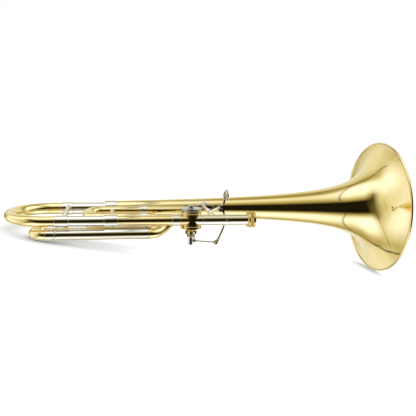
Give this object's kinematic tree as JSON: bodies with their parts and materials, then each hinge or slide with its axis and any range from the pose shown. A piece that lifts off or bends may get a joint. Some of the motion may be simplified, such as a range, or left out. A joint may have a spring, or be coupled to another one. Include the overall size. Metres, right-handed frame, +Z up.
{
  "type": "bass trombone bell section",
  "caption": "Trombone bell section with one thumb-operated rotary valve, valve tubing and two tuning slides.",
  "frame": {"origin": "centre of the bounding box's bottom face, where the part rests on a table", "axes": "+X from the tuning bow towards the bell, +Y from the neckpipe leg to the bell leg, +Z up"},
  "size_m": [0.6672, 0.2482, 0.2385],
  "materials": {
    "bearing_plate": "polished and lacquered",
    "bell": "polished and lacquered",
    "bell_brace": "polished nickel silver",
    "bell_ferrule": "polished nickel silver",
    "bell_flange": "polished nickel silver",
    "bell_inner_tube": "polished nickel silver",
    "bell_leg_outer_tube": "polished nickel silver",
    "bell_rim_bead": "polished and lacquered",
    "bell_tuning_ferrule": "polished nickel silver",
    "bumper_left": "matte",
    "bumper_plate": "polished and lacquered",
    "bumper_right": "matte",
    "front_port_bend": "polished and lacquered",
    "front_valve_inner_tube": "polished nickel silver",
    "front_valve_outer_tube": "polished nickel silver",
    "front_valve_ring": "polished nickel silver",
    "front_valve_slide_ferrule": "polished nickel silver",
    "gooseneck": "polished and lacquered",
    "gooseneck_knuckle": "polished and lacquered",
    "hinge_pin": "polished",
    "lever_bracket": "polished nickel silver",
    "lever_spring": "polished",
    "link_rod": "polished",
    "lock_nut": "lacquered, fine knurl",
    "neck_ferrule": "polished nickel silver",
    "neck_inner_tube": "polished nickel silver",
    "neck_leg_outer_tube": "polished nickel silver",
    "neck_tuning_ferrule": "polished nickel silver",
    "neckpipe": "polished nickel silver",
    "neckpipe_knuckle": "polished nickel silver",
    "neckpipe_ring": "polished nickel silver",
    "rear_valve_bow": "polished and lacquered",
    "rear_valve_inner_tube": "polished nickel silver",
    "rear_valve_outer_tube": "polished nickel silver",
    "rear_valve_ring": "polished nickel silver",
    "rear_valve_slide_ferrule": "polished nickel silver",
    "return_bow": "polished and lacquered",
    "return_ferrule": "polished nickel silver",
    "return_leg": "polished and lacquered",
    "rotor": "polished and lacquered",
    "slide_receiver": "polished nickel silver",
    "stop_arm": "polished",
    "support_post": "polished and lacquered",
    "thumb_lever": "polished nickel silver",
    "tuning_bow": "polished and lacquered",
    "tuning_slide_brace": "polished nickel silver",
    "upper_bearing": "polished and lacquered",
    "upper_brace": "polished nickel silver",
    "upper_valve_ferrule": "polished nickel silver",
    "upper_valve_tube": "polished and lacquered",
    "valve_cap": "polished nickel silver",
    "valve_casing": "polished and lacquered",
    "valve_ferrule": "polished nickel silver",
    "valve_leg_brace": "polished and lacquered",
    "valve_slide_bow": "polished and lacquered",
    "valve_slide_brace": "polished nickel silver"
  },
  "bodies": {
    "horn": {"bearing_plate": "bearing_plate", "bell": "bell", "bell_brace": "bell_brace", "bell_ferrule": "bell_ferrule", "bell_flange": "bell_flange", "bell_leg_outer_tube": "bell_leg_outer_tube", "bell_rim_bead": "bell_rim_bead", "bumper_left": "bumper_left", "bumper_plate": "bumper_plate", "bumper_right": "bumper_right", "front_port_bend": "front_port_bend", "front_valve_outer_tube": "front_valve_outer_tube", "front_valve_ring": "front_valve_ring", "gooseneck": "gooseneck", "gooseneck_knuckle": "gooseneck_knuckle", "hinge_pin": "hinge_pin", "lever_bracket": "lever_bracket", "lever_spring": "lever_spring", "neck_ferrule": "neck_ferrule", "neck_leg_outer_tube": "neck_leg_outer_tube", "neckpipe": "neckpipe", "neckpipe_knuckle": "neckpipe_knuckle", "neckpipe_ring": "neckpipe_ring", "rear_valve_bow": "rear_valve_bow", "rear_valve_outer_tube": "rear_valve_outer_tube", "rear_valve_ring": "rear_valve_ring", "return_bow": "return_bow", "return_ferrule": "return_ferrule", "return_leg": "return_leg", "slide_receiver": "slide_receiver", "support_post": "support_post", "upper_bearing": "upper_bearing", "upper_brace": "upper_brace", "upper_valve_ferrule": "upper_valve_ferrule", "upper_valve_tube": "upper_valve_tube", "valve_cap": "valve_cap", "valve_casing": "valve_casing", "valve_ferrule": "valve_ferrule", "valve_leg_brace": "valve_leg_brace"},
    "tuning_slide": {"tuning_bow": "tuning_bow", "neck_inner_tube": "neck_inner_tube", "bell_inner_tube": "bell_inner_tube", "neck_tuning_ferrule": "neck_tuning_ferrule", "bell_tuning_ferrule": "bell_tuning_ferrule", "tuning_slide_brace": "tuning_slide_brace"},
    "valve_slide": {"valve_slide_bow": "valve_slide_bow", "front_valve_inner_tube": "front_valve_inner_tube", "rear_valve_inner_tube": "rear_valve_inner_tube", "front_valve_slide_ferrule": "front_valve_slide_ferrule", "rear_valve_slide_ferrule": "rear_valve_slide_ferrule", "valve_slide_brace": "valve_slide_brace"},
    "rotor": {"rotor": "rotor", "stop_arm": "stop_arm"},
    "thumb_lever": {"thumb_lever": "thumb_lever"},
    "link_rod": {"link_rod": "link_rod"},
    "lock_nut": {"lock_nut": "lock_nut"}
  },
  "joints": [
    {"name": "tuning_slide_draw", "type": "slide", "parent": "horn", "child": "tuning_slide", "axis": [-0.9885, 0, -0.151], "range_m": [0, 0.04]},
    {"name": "valve_slide_draw", "type": "slide", "parent": "horn", "child": "valve_slide", "axis": [-0.9885, 0, -0.151], "range_m": [0, 0.1]},
    {"name": "lever_press", "type": "hinge", "parent": "horn", "child": "thumb_lever", "pos_m": [-0.00747, -0.09152, 0.08436], "axis": [0, 1, 0], "range_deg": [0, 14.2], "stiffness_Nm_per_rad": 0.5, "springref_deg": -5.73},
    {"name": "rotor_turn", "type": "hinge", "parent": "horn", "child": "rotor", "pos_m": [-0.05301, -0.10392, 0.06324], "axis": [-0.151, 0, 0.9885], "range_deg": [0, 90]},
    {"name": "link_swing", "type": "hinge", "parent": "thumb_lever", "child": "link_rod", "pos_m": [-0.00438, -0.09152, 0.0297], "axis": [0, 1, 0], "range_deg": [-18.9, 0]},
    {"name": "lock_nut_turn", "type": "hinge", "parent": "horn", "child": "lock_nut", "pos_m": [0.03359, -0.11152, 0.07647], "axis": [0.9885, 0, 0.151], "continuous": true}
  ],
  "couplings": [
    {"joint": "rotor_turn", "follows": "lever_press", "ratio": 6.338},
    {"joint": "link_swing", "follows": "lever_press", "ratio": -1.3258}
  ]
}
